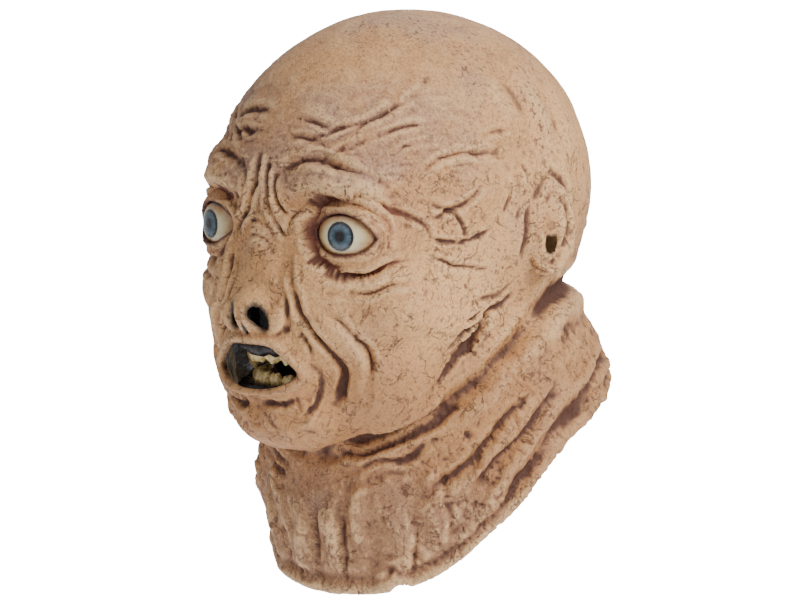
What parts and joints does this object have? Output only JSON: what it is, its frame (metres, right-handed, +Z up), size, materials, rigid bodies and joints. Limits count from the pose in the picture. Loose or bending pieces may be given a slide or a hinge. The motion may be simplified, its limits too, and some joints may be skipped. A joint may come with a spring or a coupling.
{
  "type": "full-head latex costume mask",
  "caption": "Full-head latex mask of a bald wrinkled ghoul with domed glass-look eyes, crooked teeth, long front neck bib and foam fitting pads inside.",
  "frame": {"origin": "the top of the wearer's head, on the inner face of the crown pad", "axes": "+Z up along the wearer's head, the face looks along -Y, and +X is towards the mask's own left ear"},
  "size_m": [0.225, 0.286, 0.352],
  "materials": {
    "latex_skin": "matt, airbrushed and dry-brushed, with a thin satin sealer",
    "eye_dome": "painted cream with a clear gloss coat",
    "iris": "painted slate blue, gloss",
    "pupil": "black, gloss",
    "cornea": "clear cast lens",
    "eye_ring": "moulded, as it comes",
    "gum": "near-black red, wet gloss",
    "tooth": "yellow ivory with brown stain",
    "tongue": "dark red-purple, gloss",
    "screen": "black woven mesh",
    "foam": "open-cell foam, dark grey"
  },
  "bodies": {
    "root": {"cornea_left": "cornea", "cornea_right": "cornea", "crown_pad": "foam", "eye_dome_left": "eye_dome", "eye_dome_right": "eye_dome", "eye_ring_left": "eye_ring", "eye_ring_right": "eye_ring", "forehead_pad": "foam", "head_skin": "latex_skin", "iris_left": "iris", "iris_right": "iris", "lower_gum": "gum", "lower_tooth_left_1": "tooth", "lower_tooth_left_2": "tooth", "lower_tooth_left_3": "tooth", "lower_tooth_left_4": "tooth", "lower_tooth_right_1": "tooth", "lower_tooth_right_2": "tooth", "lower_tooth_right_3": "tooth", "lower_tooth_right_4": "tooth", "mouth_screen": "screen", "nape_pad": "foam", "nostril_screen_left": "screen", "nostril_screen_right": "screen", "pupil_left": "pupil", "pupil_right": "pupil", "temple_pad_left": "foam", "temple_pad_right": "foam", "tongue": "tongue", "upper_gum": "gum", "upper_tooth_left_1": "tooth", "upper_tooth_left_2": "tooth", "upper_tooth_left_3": "tooth", "upper_tooth_left_4": "tooth", "upper_tooth_right_1": "tooth", "upper_tooth_right_2": "tooth", "upper_tooth_right_3": "tooth", "upper_tooth_right_4": "tooth"}
  },
  "joints": []
}
